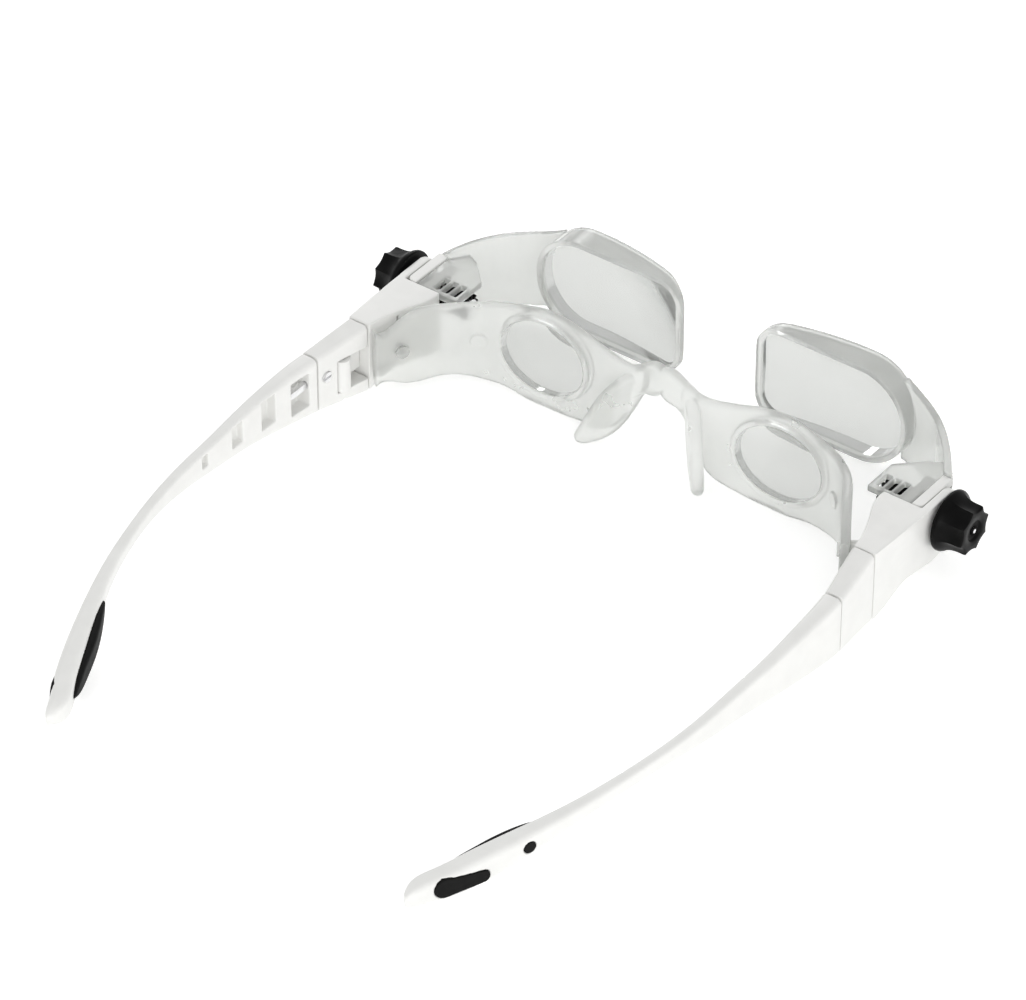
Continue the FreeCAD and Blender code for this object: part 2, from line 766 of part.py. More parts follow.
def make_hinge_link():
    blank = doc.addObject("Part::Wedge", "link_blank")
    bind(
        blank,
        Xmin=LINK_FRONT_INNER,
        Xmax=S.seam_half_width,
        X2min=LINK_REAR_INNER,
        X2max=LINK_REAR_OUTER,
        Ymin=-S.link_front,
        Ymax=LINK_REAR_Y,
        Zmin=-S.link_front_foot,
        Zmax=Size(0),
        Z2min=-S.link_rear_foot,
        Z2max=-S.link_rear_top,
    )
    doc.recompute()
    soft = doc.addObject("Part::Fillet", "link_soft")
    soft.Base = blank
    radius = float(S.link_edge_radius)
    soft.Edges = [
        (number, radius, radius)
        for number, edge in enumerate(blank.Shape.Edges, start=1)
        if abs(edge.tangentAt(edge.FirstParameter).y) > 0.9
    ]
    inner_open = LINK_FRONT_INNER - S.overrun
    sweep = S.fold_y - HOUSING_REAR_Y - S.moving_gap
    corner = cut(
        "link_corner",
        box(
            "link_corner_block",
            (inner_open, FOLD_X),
            (-S.link_front - S.overrun, S.fold_y),
            (-S.link_front_foot - S.overrun, S.overrun),
        ),
        cylinder(
            "link_corner_keep",
            "z",
            (FOLD_X, S.fold_y),
            (-S.link_front_foot - S.overrun * 2, S.overrun * 2),
            sweep,
        ),
    )
    clear = S.knuckle_radius + S.moving_gap
    hollow = (-S.knuckle_foot - S.moving_gap, S.moving_gap - S.knuckle_top)
    return cut(
        "left_hinge_link",
        soft,
        corner,
        box(
            "link_leaf_way",
            (inner_open, LEAF_OUTER + S.moving_gap),
            (-S.link_front - S.overrun, S.fold_y + clear),
            hollow,
        ),
        cylinder(
            "link_pin_hole",
            "z",
            (FOLD_X, S.fold_y),
            (-S.link_front_foot - S.overrun, S.fit_gap - S.fold_pin_top),
            S.fold_pin_radius + S.fit_gap,
        ),
        box(
            "link_tongue_slot",
            (TONGUE_INNER - S.fit_gap, TONGUE_INNER + S.tongue_thickness + S.fit_gap),
            (S.tongue_front - S.fit_gap, LINK_REAR_Y + S.overrun),
            (-(S.tongue_top + S.tongue_height + S.fit_gap), S.fit_gap - S.tongue_top),
        ),
        cylinder(
            "link_screw_hole",
            "x",
            (S.link_screw_y, LINK_SCREW_Z),
            (LINK_SCREW_X - S.overrun, LINK_SCREW_X + S.link_screw_length + S.fit_gap),
            S.link_screw_radius + S.fit_gap,
        ),
        cylinder(
            "link_screw_sink",
            "x",
            (S.link_screw_y, LINK_SCREW_Z),
            (LINK_SCREW_X - S.link_screw_head - S.overrun, LINK_SCREW_X),
            S.link_screw_head_radius + S.fit_gap,
        ),
    )


def make_fold_pin():
    span = (-S.fold_pin_foot, -S.fold_pin_top)
    return cylinder("left_fold_pin", "z", (FOLD_X, S.fold_y), span, S.fold_pin_radius)


def make_hinge_leaf():
    knuckle = cylinder(
        "leaf_knuckle",
        "z",
        (FOLD_X, S.fold_y),
        (-S.knuckle_foot, -S.knuckle_top),
        S.knuckle_radius,
    )
    plate = box(
        "leaf_plate",
        (LEAF_INNER, LEAF_OUTER),
        (S.fold_y - S.leaf_reach, S.fold_y),
        (-S.knuckle_foot + S.leaf_margin, -S.knuckle_top - S.leaf_margin),
    )
    pin_hole = cylinder(
        "leaf_pin_hole",
        "z",
        (FOLD_X, S.fold_y),
        (-S.knuckle_foot - S.overrun, S.overrun - S.knuckle_top),
        S.fold_pin_radius + S.fit_gap,
    )
    screw_hole = cylinder(
        "leaf_screw_hole",
        "x",
        (-S.leaf_screw_y, LEAF_SCREW_Z),
        (LEAF_INNER - S.overrun, LEAF_OUTER + S.overrun),
        S.leaf_screw_radius + S.fit_gap,
    )
    return cut("left_hinge_leaf", fuse("leaf_blank", knuckle, plate), pin_hole, screw_hole)


def make_leaf_screw():
    body = screw(
        "left_leaf_screw",
        S.leaf_screw_radius,
        S.leaf_thickness + S.leaf_screw_bite,
        S.leaf_screw_head_radius,
        S.leaf_screw_head,
    )
    return place(body, LEAF_INNER, -S.leaf_screw_y, LEAF_SCREW_Z, TURNS["x"])


def make_link_screw():
    body = screw(
        "left_link_screw",
        S.link_screw_radius,
        S.link_screw_length,
        S.link_screw_head_radius,
        S.link_screw_head,
    )
    return place(body, LINK_SCREW_X, S.link_screw_y, LINK_SCREW_Z, TURNS["x"])


def make_temple_tongue():
    bar = box(
        "tongue_bar",
        (TONGUE_INNER, TONGUE_INNER + S.tongue_thickness),
        (S.tongue_front, S.tongue_front + S.tongue_length),
        (-(S.tongue_top + S.tongue_height), -S.tongue_top),
    )
    hole = cylinder(
        "tongue_hole",
        "x",
        (S.link_screw_y, LINK_SCREW_Z),
        (TONGUE_INNER - S.overrun, TONGUE_INNER + S.tongue_thickness + S.overrun),
        S.link_screw_radius + S.fit_gap,
    )
    return cut("left_temple_tongue", bar, hole)


# Focus housing with its cover


def along_wing(name, low, high, radius):
    """A rod square to the eyepiece frame's wing, measured from the wing's middle outward."""
    item = doc.addObject("Part::Cylinder", name)
    bind(item, Radius=radius, Height=high - low)
    direction = Vector(math.cos(math.radians(S.wing_angle)), -math.sin(math.radians(S.wing_angle)), 0)
    start = Vector(FRAME_PIN_X, -S.frame_pin_y, -S.frame_pin_drop) + direction * float(low)
    item.Placement = Placement(start, Rotation(Vector(0, 0, 1), direction))
    return item


def make_focus_housing():
    top = []
    for across, forward in HOUSING_INNER_SHARES:
        x = HOUSING_INNER_REAR + (HOUSING_INNER_FRONT - HOUSING_INNER_REAR) * across
        top.append((x, -S.housing_front * forward, 0))
    front = (EAR_INNER, -S.housing_front, 0)
    ear = (EAR_INNER, -S.ear_front, 0)
    ear_end = (EAR_OUTER, -S.ear_front, 0)
    outer_rear = (S.seam_half_width, HOUSING_REAR_Y, 0)
    outer_mid = (
        EAR_OUTER - S.ear_outset * SWELL_ACROSS_SHARE,
        -S.housing_front * SWELL_ALONG_SHARE,
        0,
    )
    plan = outline(
        [
            top,
            [top[-1], front],
            [front, ear],
            [ear, ear_end],
            [ear_end, (EAR_OUTER, -S.drive_y, 0)],
            [(EAR_OUTER, -S.drive_y, 0), outer_mid, outer_rear],
            [outer_rear, top[0]],
        ]
    )
    plan_block = feature("housing_plan", slab(plan, Vector(0, 0, -S.housing_foot_rear - S.overrun)))
    foot = []
    for along, depth in HOUSING_FOOT_SHARES:
        foot.append((0, -S.ear_front * along, -S.housing_foot_rear * depth))
    nose = (0, -S.ear_front, -S.drive_z)
    crown = (0, -S.ear_front * EAR_CROWN_SHARE, 0)
    low_bend, high_bend = [
        (0, -S.ear_front * along, -S.drive_z * depth) for along, depth in EAR_NOSE_SHARES
    ]
    rear_top = (0, HOUSING_REAR_Y, 0)
    side = outline(
        [
            [rear_top, foot[0]],
            foot,
            [foot[-1], low_bend, nose],
            [nose, high_bend, crown],
            [crown, rear_top],
        ]
    )
    side_block = feature("housing_side", slab(side, Vector(EAR_OUTER + S.overrun, 0, 0)))
    shell = common("housing_shell", plan_block, side_block)
    inner_boss = cylinder(
        "housing_inner_boss",
        "x",
        (-S.drive_y, -S.drive_z),
        (BOSS_INNER, EAR_INNER + S.housing_wall),
        S.boss_radius,
    )
    outer_boss = cylinder(
        "housing_outer_boss",
        "x",
        (-S.drive_y, -S.drive_z),
        (EAR_OUTER - S.housing_wall, EAR_OUTER + S.boss_flange),
        S.boss_flange_radius,
    )
    frame_boss = along_wing(
        "housing_frame_boss", WING_FACE + S.fit_gap, S.frame_boss_reach, S.frame_boss_radius
    )
    channel_floor = -S.housing_foot_rear - S.overrun
    hollow = cut(
        "housing_hollow",
        shell,
        box(
            "housing_channel",
            (CHANNEL_INNER, CHANNEL_OUTER),
            (-S.housing_front - S.overrun, -S.channel_rear),
            (channel_floor, -S.housing_top_wall),
        ),
        box(
            "housing_hinge_chamber",
            (HINGE_CHAMBER_INNER, CHANNEL_OUTER),
            (-S.channel_rear - S.fit_gap, HOUSING_REAR_Y - S.hinge_wall),
            (COVER_TOP, -S.housing_top_wall),
        ),
    )
    post = cylinder(
        "housing_cover_post",
        "z",
        (COVER_POST_X, COVER_POST_Y),
        (COVER_TOP, COVER_TOP + S.cover_post_height),
        S.cover_post_radius,
    )
    post_web = box(
        "housing_cover_web",
        (CHANNEL_INNER - S.housing_wall / 2, COVER_POST_X),
        (COVER_POST_Y - S.housing_wall / 2, COVER_POST_Y + S.housing_wall / 2),
        (COVER_TOP, COVER_TOP + S.cover_post_height),
    )
    joined = fuse("housing_joined", hollow, inner_boss, outer_boss, frame_boss, post, post_web)
    return cut(
        "left_focus_housing",
        joined,
        cylinder(
            "housing_shaft_hole",
            "x",
            (-S.drive_y, -S.drive_z),
            (BOSS_INNER - S.overrun, EAR_OUTER + S.overrun),
            S.shaft_radius + S.fit_gap,
        ),
        box(
            "housing_leaf_slot",
            (LEAF_INNER - S.fit_gap, LEAF_OUTER + S.fit_gap),
            (HOUSING_REAR_Y - S.hinge_wall - S.overrun, S.overrun),
            (
                -S.knuckle_foot + S.leaf_margin - S.fit_gap,
                -S.knuckle_top - S.leaf_margin + S.fit_gap,
            ),
        ),
        cylinder(
            "housing_leaf_screw_hole",
            "x",
            (-S.leaf_screw_y, LEAF_SCREW_Z),
            (LEAF_OUTER - S.overrun / 2, LEAF_OUTER + S.leaf_screw_bite + S.fit_gap),
            S.leaf_screw_radius + S.fit_gap,
        ),
        along_wing(
            "housing_frame_pin_hole",
            WING_FACE,
            WING_FACE + FRAME_PIN_BITE + S.fit_gap,
            S.frame_pin_radius + S.fit_gap,
        ),
        cylinder(
            "housing_cover_screw_hole",
            "z",
            (COVER_POST_X, COVER_POST_Y),
            (COVER_TOP - S.overrun, COVER_TOP + S.cover_screw_bite + S.fit_gap),
            S.cover_screw_radius + S.fit_gap,
        ),
        box(
            "housing_cover_seat",
            (CHANNEL_INNER, CHANNEL_OUTER),
            (-S.housing_front - S.overrun, HOUSING_REAR_Y - S.hinge_wall),
            (channel_floor, COVER_TOP),
        ),
    )


def make_housing_cover():
    plate = box(
        "cover_plate",
        (CHANNEL_INNER + S.fit_gap, CHANNEL_OUTER - S.fit_gap),
        (-S.housing_front + S.fit_gap, HOUSING_REAR_Y - S.hinge_wall - S.fit_gap),
        (COVER_TOP - S.cover_thickness, COVER_TOP - S.fit_gap / 2),
    )
    hole = cylinder(
        "cover_hole",
        "z",
        (COVER_POST_X, COVER_POST_Y),
        (COVER_TOP - S.cover_thickness - S.overrun, COVER_TOP + S.overrun),
        S.cover_screw_radius + S.fit_gap,
    )
    return cut("left_housing_cover", plate, hole)


def make_cover_screw():
    body = screw(
        "left_cover_screw",
        S.cover_screw_radius,
        S.cover_thickness + S.cover_screw_bite,
        S.cover_screw_head_radius,
        S.cover_screw_head,
    )
    return place(body, COVER_POST_X, COVER_POST_Y, COVER_TOP - S.cover_thickness, TURNS["z"])


# Focus drive: shaft, pinion, clip, washer and knob on one axis


def make_knob_shaft():
    groove = S.shaft_radius - S.clip_groove_depth
    clip_start = CLIP_INNER - SHAFT_INNER
    clip_end = clip_start + S.clip_thickness + S.fit_gap
    length = KNOB_OUTER - SHAFT_INNER - S.fit_gap
    step = length - S.shaft_tip_length
    body = turned(
        "left_knob_shaft",
        [
            (0, 0),
            (S.shaft_radius, 0),
            (S.shaft_radius, clip_start - S.fit_gap),
            (groove, clip_start - S.fit_gap),
            (groove, clip_end),
            (S.shaft_radius, clip_end),
            (S.shaft_radius, step),
            (S.shaft_tip_radius, step),
            (S.shaft_tip_radius, length),
            (0, length),
        ],
    )
    return place(body, SHAFT_INNER, -S.drive_y, -S.drive_z, TURNS["x"])


def make_shaft_clip():
    body = doc.addObject("PartDesign::Body", "left_shaft_clip")
    sketch = draw_circle(body, "XY_Plane", "clip_outline", (0, 0), S.clip_radius)
    pad = body.newObject("PartDesign::Pad", "clip_disc")
    pad.Profile = sketch
    bind(pad, Length=S.clip_thickness)
    sketch.Visibility = False
    doc.recompute()
    hole_sketch = draw_circle(
        body,
        "XY_Plane",
        "clip_hole_outline",
        (0, 0),
        S.shaft_radius - S.clip_groove_depth + S.fit_gap / 2,
    )
    hole = body.newObject("PartDesign::Pocket", "clip_hole")
    hole.Profile = hole_sketch
    hole.Midplane = True
    bind(hole, Length=S.clip_thickness * 4)
    doc.recompute()
    mouth = S.shaft_radius * CLIP_MOUTH_SHARE
    mouth_sketch = draw(
        body,
        "XY_Plane",
        "clip_mouth_outline",
        [(-mouth, 0), (mouth, 0), (mouth, -S.clip_radius * 2), (-mouth, -S.clip_radius * 2)],
    )
    opening = body.newObject("PartDesign::Pocket", "clip_mouth")
    opening.Profile = mouth_sketch
    opening.Midplane = True
    bind(opening, Length=S.clip_thickness * 4)
    body.Tip = opening
    doc.recompute()
    return place(body, CLIP_INNER, -S.drive_y, -S.drive_z, TURNS["x"])


def make_focus_pinion():
    """Straight teeth cut round a blank; one gap points up at the rack."""
    length = PINION_OUTER - PINION_INNER
    tip = GEAR_RADIUS + S.gear_module
    root = GEAR_RADIUS - S.gear_module * DEDENDUM_SHARE
    body = turned(
        "left_focus_pinion",
        [
            (S.shaft_radius + S.fit_gap / 2, 0),
            (tip, 0),
            (tip, length),
            (S.shaft_radius + S.fit_gap / 2, length),
        ],
    )
    outside = tip * GAP_REACH_SHARE
    wide = S.gear_module * GAP_MOUTH_SHARE
    narrow = S.gear_module * GAP_FLOOR_SHARE
    gap_sketch = draw(
        body,
        "XY_Plane",
        "pinion_gap_outline",
        [(-root, -narrow), (-root, narrow), (-outside, wide), (-outside, -wide)],
    )
    gap = body.newObject("PartDesign::Pocket", "pinion_gap")
    gap.Profile = gap_sketch
    gap.Midplane = True
    bind(gap, Length=length * 3)
    doc.recompute()
    ring_pattern(body, "pinion_gaps", gap, S.gear_teeth)
    return place(body, PINION_INNER, -S.drive_y, -S.drive_z, TURNS["x"])


def make_knob_washer():
    inner = S.shaft_radius + S.fit_gap * 2
    body = turned(
        "left_knob_washer",
        [
            (inner, 0),
            (S.washer_radius, 0),
            (S.washer_radius, S.washer_thickness),
            (inner, S.washer_thickness),
        ],
    )
    start = EAR_OUTER + S.boss_flange + S.fit_gap
    return place(body, start, -S.drive_y, -S.drive_z, TURNS["x"])


def make_focus_knob():
    bore = S.shaft_radius + S.fit_gap / 2
    tip_bore = S.shaft_tip_radius + S.fit_gap / 2
    step = S.knob_length - S.shaft_tip_length
    body = turned(
        "left_focus_knob",
        [
            (bore, 0),
            (S.knob_base_radius, 0),
            (S.knob_base_radius, S.knob_base_rim),
            (S.knob_waist_radius, S.knob_waist_height),
            (S.knob_star_radius, S.knob_length),
            (S.knob_dish_radius, S.knob_length),
            (S.knob_dish_radius, S.knob_length - S.knob_dish_depth),
            (tip_bore, S.knob_length - S.knob_dish_depth),
            (tip_bore, step),
            (bore, step),
        ],
    )
    flute_sketch = draw_circle(
        body, "XY_Plane", "knob_flute_outline", (S.knob_flute_centre, 0), S.knob_flute_radius
    )
    bind_offset(flute_sketch, S.knob_base_rim)
    turn = Rotation(Vector(0, 0, 1), float(S.knob_turn))
    flute_sketch.AttachmentOffset = Placement(flute_sketch.AttachmentOffset.Base, turn)
    flute_sketch.setExpression("AttachmentOffset.Rotation.Angle", S.knob_turn.formula)
    flute = body.newObject("PartDesign::Pocket", "knob_flute")
    flute.Profile = flute_sketch
    flute.Reversed = True
    bind(flute, Length=S.knob_length)
    doc.recompute()
    ring_pattern(body, "knob_flutes", flute, S.knob_lobes)
    return place(body, KNOB_INNER, -S.drive_y, -S.drive_z, TURNS["x"])


def bind_offset(sketch, value):
    """Lift a sketch off its plane by a size."""
    sketch.AttachmentOffset = Placement(Vector(0, 0, float(value)), Rotation())
    sketch.setExpression("AttachmentOffset.Base.z", value.formula)


# Objective: carrier, lens, rack and slide block


def lens_wire(inset, y):
    """The objective's outline: tight corners towards the nose, a round outer end."""
    low_x = float(S.lens_inner + inset)
    high_x = float(LENS_OUTER - inset)
    low_z = float(inset - S.lens_foot)
    high_z = float(S.lens_top - inset)
    limit = (high_z - low_z) * CORNER_LIMIT_SHARE
    inner = min(float(S.lens_inner_corner - inset), limit)
    outer = min(float(S.lens_outer_corner - inset), limit)
    bend = 1 - math.sqrt(0.5)
    corners = (
        (low_x, high_z, 1, -1, inner),
        (high_x, high_z, -1, -1, outer),
        (high_x, low_z, -1, 1, outer),
        (low_x, low_z, 1, 1, inner),
    )
    ends = []
    edges = []
    for number, (x, z, to_x, to_z, radius) in enumerate(corners):
        on_side = Vector(x, y, z + to_z * radius)
        on_flat = Vector(x + to_x * radius, y, z)
        mid = Vector(x + to_x * radius * bend, y, z + to_z * radius * bend)
        first, last = (on_side, on_flat) if number % 2 == 0 else (on_flat, on_side)
        ends.append((first, mid, last))
    for number, (first, mid, last) in enumerate(ends):
        edges.append(Part.Arc(first, mid, last).toShape())
        edges.append(Part.LineSegment(last, ends[(number + 1) % 4][0]).toShape())
    return Part.Wire(edges)


def front_bow(name, radius):
    """An upright drum whose forward side is the objective's bowed front."""
    centre = (FRONT_BOW_X, S.front_bow_radius - S.front_reach)
    return cylinder(name, "z", centre, (-S.rest_height - S.overrun, S.rest_height), radius)


def wall_point(across, forward):
    """A place on the side wall's outer side, between the ear and the lens."""
    x = LENS_OUTER + (BLOCK_OUTER - LENS_OUTER) * across
    return (x, -(S.block_front + (S.front_reach - S.block_front) * forward), 0)


def side_wall_shape():
    outer = [wall_point(across, forward) for across, forward, top, foot in SIDE_WALL_SHARES]
    spline = Part.BSplineCurve()
    spline.interpolate([Vector(*point) for point in outer])
    inner = []
    for point in outer:
        at = Vector(*point)
        tangent = Vector(*spline.tangent(spline.parameter(at))[0])
        inner.append(tuple(at + Vector(-tangent.y, tangent.x, 0) * float(S.side_wall)))
    plan = outline([outer, [outer[-1], inner[-1]], inner[::-1], [inner[0], outer[0]]])
    plan_block = slab(plan, Vector(0, 0, S.rest_height * 2))
    plan_block.translate(Vector(0, 0, -S.rest_height))
    tops = []
    feet = []
    for across, forward, top, foot in SIDE_WALL_SHARES:
        x = wall_point(across, forward)[0]
        tops.append((x, 0, S.lens_top * top))
        feet.append((x, 0, -S.lens_foot * foot))
    margin = S.side_wall * 2
    first = ((tops[0][0] - margin), 0, tops[0][2])
    last = ((tops[-1][0] + margin), 0, tops[-1][2])
    low_first = (first[0], 0, feet[0][2])
    low_last = (last[0], 0, feet[-1][2])
    view = outline(
        [
            [first, tops[0]],
            tops,
            [tops[-1], last],
            [last, low_last],
            [low_last, feet[-1]],
            feet[::-1],
            [feet[0], low_first],
            [low_first, first],
        ]
    )
    view_block = slab(view, Vector(0, -S.front_reach - S.overrun, 0))
    return plan_block.common(view_block)


def make_objective_carrier():
    ring_outer = slab(lens_wire(0, -LENS_BACK), Vector(0, -S.overrun * 4, 0))
    ring_inner = slab(
        lens_wire(S.carrier_wall, S.overrun - LENS_BACK), Vector(0, -S.overrun * 6, 0)
    )
    ring = common(
        "carrier_ring",
        feature("carrier_ring_blank", ring_outer.cut(ring_inner)),
        front_bow("carrier_bow", S.front_bow_radius - S.lens_seat),
    )
    wall = feature("carrier_side_wall", side_wall_shape())
    ring_room = feature(
        "carrier_ring_room",
        slab(lens_wire(S.carrier_wall, S.overrun - LENS_BACK), Vector(0, -S.overrun * 6, 0)),
    )
    wall_behind = cut("carrier_wall_trimmed", wall, ring_room)
    plate_points = [
        (ARM_PLATE_INNER, SLIDE_REAR_Y, 0),
        (PLATE_OUTER, SLIDE_REAR_Y, 0),
        (PLATE_OUTER, -S.block_front, 0),
        (BLOCK_OUTER, -S.block_front - S.fit_gap, 0),
        (BLOCK_OUTER - S.side_wall, -S.arm_plate_front, 0),
        wall_point(*PLATE_WEB_SHARES),
        (ARM_PLATE_INNER + S.arm_plate_chamfer, -S.arm_plate_front, 0),
        (ARM_PLATE_INNER, -S.arm_plate_nose, 0),
    ]
    runs = [[first, last] for first, last in zip(plate_points, plate_points[1:] + plate_points[:1])]
    plate_solid = slab(outline(runs), Vector(0, 0, S.arm_plate_foot - S.arm_plate_top))
    plate_solid.translate(Vector(0, 0, -S.arm_plate_foot))
    plate = feature("carrier_plate", plate_solid)
    ledge = box(
        "carrier_ledge",
        (BLOCK_INNER - S.ledge_lap, BLOCK_OUTER),
        (-S.block_front, SLIDE_REAR_Y),
        (-S.ledge_foot, -S.ledge_top),
    )
    runner = box(
        "carrier_runner",
        (CHANNEL_INNER + S.moving_gap, CHANNEL_OUTER - S.moving_gap),
        (SLIDE_REAR_Y - S.overrun, -S.runner_rear),
        (-S.arm_plate_foot, -S.runner_top),
    )
    runner_keep = box(
        "carrier_runner_front",
        (RACK_INNER - S.overrun, BLOCK_OUTER + S.overrun),
        (SLIDE_REAR_Y - S.overrun * 2, SLIDE_REAR_Y),
        (-S.ledge_top, S.overrun),
    )
    runner_cut = cut("carrier_runner_step", runner, runner_keep)
    joined = fuse("carrier_joined", ring, wall_behind, plate, ledge, runner_cut)
    tools = [
        box(
            "carrier_block_room",
            (PLATE_OUTER, BLOCK_OUTER + S.overrun),
            (-S.block_front, SLIDE_REAR_Y + S.fit_gap),
            (-S.ledge_top, S.overrun),
        )
    ]
    for number in range(3):
        start = SLOT_INNER + (S.slot_width + S.slot_rail) * number
        tools.append(
            box(
                "carrier_slot_%d" % (number + 1),
                (start, start + S.slot_width),
                (-S.slot_front, -S.slot_rear),
                (-S.ledge_foot - S.overrun, S.overrun),
            )
        )
    tools.append(
        box(
            "carrier_rack_groove",
            (RACK_INNER - S.fit_gap, RACK_OUTER + S.fit_gap),
            (RACK_FRONT_Y - S.fit_gap, RACK_FRONT_Y + RACK_LENGTH + S.fit_gap),
            (-S.ledge_foot - S.overrun, -S.rack_top),
        )
    )
    return cut("left_objective_carrier", joined, *tools)


def make_focus_rack():
    """A toothed bar, teeth down; a tooth stands over the pinion's axis at rest."""
    body = doc.addObject("PartDesign::Body", "left_focus_rack")
    tip = RACK_PITCH_Z - S.gear_module
    root = RACK_PITCH_Z + S.gear_module * DEDENDUM_SHARE
    points = [(RACK_FRONT_Y, -S.rack_top), (RACK_FRONT_Y, root)]
    for number in range(SIZES["rack_teeth"]):
        middle = RACK_FRONT_Y + RACK_PITCH * (number + 0.5)
        points.append((middle - S.gear_module * RACK_ROOT_SHARE, root))
        points.append((middle - S.gear_module * RACK_TIP_SHARE, tip))
        points.append((middle + S.gear_module * RACK_TIP_SHARE, tip))
        points.append((middle + S.gear_module * RACK_ROOT_SHARE, root))
    points.append((RACK_FRONT_Y + RACK_LENGTH, root))
    points.append((RACK_FRONT_Y + RACK_LENGTH, -S.rack_top))
    sketch = draw(body, "YZ_Plane", "rack_outline", points)
    bind_offset(sketch, RACK_INNER)
    pad = body.newObject("PartDesign::Pad", "rack_bar")
    pad.Profile = sketch
    bind(pad, Length=S.rack_width)
    doc.recompute()
    return place(body, Size(0), Size(0), Size(0))


def make_slide_block():
    blank = box(
        "block_blank",
        (BLOCK_INNER, BLOCK_OUTER),
        (-S.block_front + S.fit_gap, SLIDE_REAR_Y),
        (-S.ledge_top + S.fit_gap, -S.block_top),
    )
    doc.recompute()
    soft = doc.addObject("Part::Fillet", "left_slide_block")
    soft.Base = blank
    radius = float(S.block_corner)
    corner = Vector(BLOCK_OUTER, SLIDE_REAR_Y, 0)
    soft.Edges = [
        (number, radius, radius)
        for number, edge in enumerate(blank.Shape.Edges, start=1)
        if all(Vector(vertex.X, vertex.Y, 0).isEqual(corner, S.fit_gap) for vertex in edge.Vertexes)
    ]
    return soft


def make_objective_lens():
    blank = feature(
        "lens_blank",
        slab(
            lens_wire(S.carrier_wall + S.fit_gap, -LENS_BACK - S.lens_recess),
            Vector(0, -S.overrun * 4, 0),
        ),
    )
    dome = doc.addObject("Part::Sphere", "lens_dome")
    bind(dome, Radius=S.front_bow_radius)
    middle_z = (S.lens_top - S.lens_foot) / 2
    place(dome, FRONT_BOW_X, S.front_bow_radius - S.front_reach, middle_z)
    return common("left_objective_lens", blank, dome)


# Eyepiece frame, oculars and the pins that hold its wings


def frame_sections(side):
    wires = []
    rows = FRAME_SHARES
    for number, (across, back, lean, top, foot, thick) in enumerate(rows):
        before = rows[max(number - 1, 0)]
        after = rows[min(number + 1, len(rows) - 1)]
        tangent = Vector(
            S.seam_half_width * (after[0] - before[0]),
            -S.eyepiece_y * (after[1] - before[1]),
            0,
        )
        if number == 0:
            tangent = Vector(1, 0, 0)
        normal = Vector(tangent.y, -tangent.x, 0)
        normal.x *= side
        top_point = Vector(
            side * float(S.seam_half_width * across),
            -float(S.eyepiece_y * back),
            float(S.rest_height * top),
        )
        foot_point = Vector(top_point.x, top_point.y + float(S.eyepiece_y * lean), 0)
        foot_point.z = -float(S.rest_height * foot)
        width = S.frame_thickness * thick
        up = top_point - foot_point
        middle = (top_point + foot_point) / 2
        wires.append(section(middle, normal, up, width, up.Length, width * FRAME_ROUND_SHARE))
    return wires


def nose_pad(side):
    angle = math.radians(S.nose_pad_angle)
    along_pad = Vector(side * math.cos(angle), math.sin(angle), 0)
    across_pad = Vector(-along_pad.y, along_pad.x, 0)
    wires = []
    for along, top, foot, thick in NOSE_PAD_SHARES:
        height = S.nose_pad_height * (foot - top)
        middle = Vector(side * float(S.pad_root_x), -float(S.pad_root_y), 0)
        middle += along_pad * float(S.nose_pad_length * along)
        middle.z = -float(S.nose_pad_height * (top + foot) / 2)
        width = S.nose_pad_thickness * thick
        radius = width * NOSE_PAD_ROUND_SHARE
        wires.append(section(middle, across_pad, Vector(0, 0, 1), width, height, radius))
    return Part.makeLoft(wires, True, False)


def ocular_blank(grow, depth):
    """An ellipse with a depth, centred on zero and facing Y."""
    ellipse = Part.Ellipse(
        Vector(0, 0, 0), float(S.ocular_half_width + grow), float(S.ocular_half_height + grow)
    )
    wire = Part.Wire([ellipse.toShape()])
    wire.rotate(Vector(0, 0, 0), Vector(1, 0, 0), 90)
    wire.translate(Vector(0, -float(depth) / 2, 0))
    return slab(wire, Vector(0, float(depth), 0))


def seat_ocular(shape, side):
    """Lean a shape made about zero with the frame and move it to the ocular's place."""
    shape.rotate(Vector(0, 0, 0), Vector(1, 0, 0), float(S.ocular_lean))
    shape.translate(Vector(side * float(OCULAR_X), -S.ocular_y, -S.ocular_drop))
    return shape


def wing_peg(side):
    """A short round peg on the wearer's side of a wing."""
    angle = math.radians(S.peg_angle)
    rearward = Vector(-side * math.sin(angle), math.cos(angle), 0)
    across, forward = PEG_SHARES
    start = Vector(side * float(S.seam_half_width * across), -S.eyepiece_y * forward, -S.peg_drop)
    return Part.makeCylinder(float(S.peg_radius), float(S.peg_reach), start, rearward)


def make_eyepiece_frame():
    halves = [Part.makeLoft(frame_sections(side), True, False) for side in (1, -1)]
    body = halves[0].fuse(halves[1])
    body = body.fuse([nose_pad(1), nose_pad(-1), wing_peg(1), wing_peg(-1)])
    for side in (1, -1):
        rim = seat_ocular(ocular_blank(S.ocular_rim, S.ocular_thickness), side)
        hole = seat_ocular(ocular_blank(0, S.ocular_thickness + S.overrun * 2), side)
        body = body.fuse(rim).cut(hole)
    blank = feature("frame_blank", body.removeSplitter())
    hole = along_wing(
        "frame_pin_hole",
        -(WING_FACE + S.overrun),
        WING_FACE + S.overrun / 2,
        S.frame_pin_radius + S.fit_gap,
    )
    seat = along_wing(
        "frame_pin_seat",
        -(WING_FACE + S.overrun),
        -WING_FACE,
        S.frame_pin_head_radius + S.fit_gap,
    )
    stepped_hole = fuse("frame_pin_way", hole, seat)
    mirrored_hole = doc.addObject("Part::Mirroring", "frame_pin_way_right")
    mirrored_hole.Source = stepped_hole
    mirrored_hole.Normal = Vector(1, 0, 0)
    return cut("eyepiece_frame", blank, stepped_hole, mirrored_hole, below_rest())


